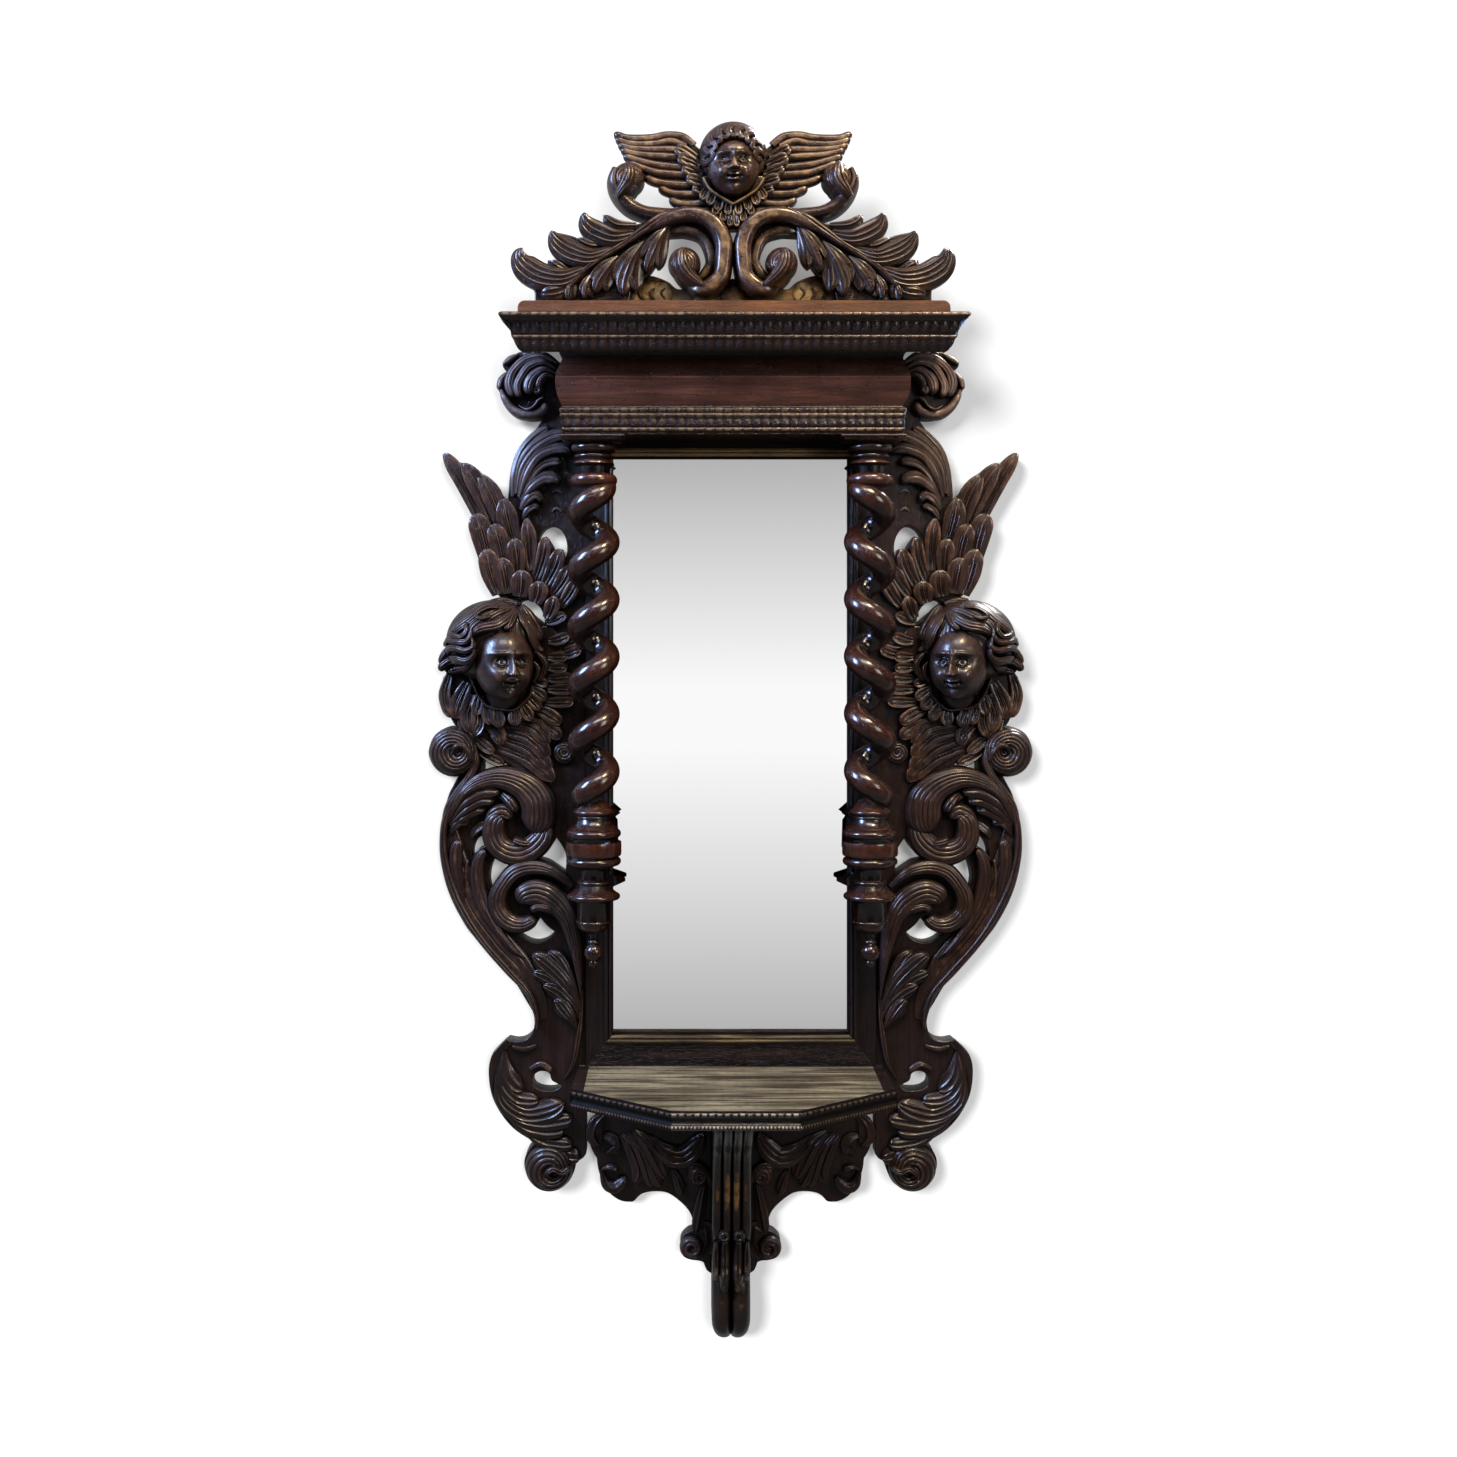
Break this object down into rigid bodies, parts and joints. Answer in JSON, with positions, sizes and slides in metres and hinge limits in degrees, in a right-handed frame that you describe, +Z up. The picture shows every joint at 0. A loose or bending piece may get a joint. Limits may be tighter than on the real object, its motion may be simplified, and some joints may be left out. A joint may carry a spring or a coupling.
{
  "type": "wall mirror",
  "caption": "Carved oak wall mirror with twisted columns, pierced scroll and cherub sides, winged cherub crest and a small console shelf under the glass.",
  "frame": {"origin": "midway between the two hanging holes, on the wall plane", "axes": "+X to the right seen from the front, the front faces -Y, +Z up; the wall is the plane Y = 0"},
  "size_m": [0.7578, 0.2306, 1.493],
  "materials": {
    "dark_oak": "stained oak, waxed",
    "carved_oak": "carved stained oak, waxed, dark in the hollows",
    "crest_oak": "carved stained oak, rubbed through on the edges",
    "polished_oak": "turned oak, polished",
    "red_brown_oak": "red-brown stained oak, waxed",
    "light_oak": "lighter stained oak, worn",
    "worn_oak": "bare worn oak, open grain",
    "rubbed_oak": "stained oak, edges rubbed to gold",
    "silvered_glass": "silvered plate glass",
    "pine_backboard": "unfinished softwood",
    "steel_plates": "plain steel",
    "iron_screws": "blackened iron screws"
  },
  "bodies": {
    "root": {"top_rail": "dark_oak", "bottom_rail": "dark_oak", "sight_top": "rubbed_oak", "sight_bottom": "rubbed_oak", "mirror_glass": "silvered_glass", "backboard": "pine_backboard", "backboard_screws": "iron_screws", "hanging_plates": "steel_plates", "hanging_screws": "iron_screws", "entablature_core": "dark_oak", "cornice_bed": "dark_oak", "architrave_front": "dark_oak", "frieze_front": "red_brown_oak", "cornice_front": "dark_oak", "cornice_board": "dark_oak", "pediment_plinth": "light_oak", "crest_ground": "crest_oak", "crest_head": "crest_oak", "shelf_board": "worn_oak", "shelf_cleats": "worn_oak", "shelf_front": "dark_oak", "centre_bracket": "carved_oak", "left_stile": "dark_oak", "right_stile": "dark_oak", "left_sight": "rubbed_oak", "right_sight": "rubbed_oak", "left_architrave_return": "dark_oak", "right_architrave_return": "dark_oak", "left_frieze_return": "red_brown_oak", "right_frieze_return": "red_brown_oak", "left_cornice_return": "dark_oak", "right_cornice_return": "dark_oak", "left_column": "polished_oak", "right_column": "polished_oak", "left_upper_block": "dark_oak", "right_upper_block": "dark_oak", "left_lower_block": "dark_oak", "right_lower_block": "dark_oak", "left_side_board": "carved_oak", "right_side_board": "carved_oak", "left_ear_scroll": "carved_oak", "right_ear_scroll": "carved_oak", "left_wing": "carved_oak", "right_wing": "carved_oak", "left_cherub_head": "carved_oak", "right_cherub_head": "carved_oak", "left_feather_collar": "carved_oak", "right_feather_collar": "carved_oak", "left_main_scroll": "carved_oak", "right_main_scroll": "carved_oak", "left_foot_scroll": "carved_oak", "right_foot_scroll": "carved_oak", "left_crest_scroll": "crest_oak", "right_crest_scroll": "crest_oak", "left_crest_wing": "crest_oak", "right_crest_wing": "crest_oak", "left_shelf_side": "dark_oak", "right_shelf_side": "dark_oak", "left_apron": "carved_oak", "right_apron": "carved_oak"}
  },
  "joints": []
}
